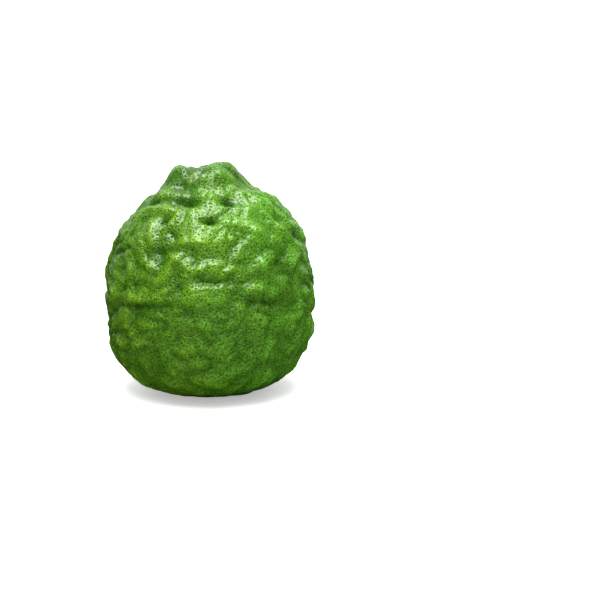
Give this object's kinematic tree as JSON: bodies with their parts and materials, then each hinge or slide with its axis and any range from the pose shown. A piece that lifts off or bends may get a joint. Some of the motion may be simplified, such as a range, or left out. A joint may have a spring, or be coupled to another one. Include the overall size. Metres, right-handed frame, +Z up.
{
  "type": "makrut lime, whole",
  "caption": "Whole bumpy green makrut lime with a knobbly neck and stalk scar, standing on a small flat spot at its base.",
  "frame": {"origin": "centre of the fruit's width and depth, on the surface it rests on", "axes": "+Z up through the neck and stalk end, -Y towards the side with the round pit in its shoulder, +X to the right of that side"},
  "size_m": [0.0562, 0.0568, 0.0616],
  "materials": {
    "lime_skin": "satin, waxy, finely pitted citrus skin"
  },
  "bodies": {
    "root": {"lime": "lime_skin"}
  },
  "joints": []
}
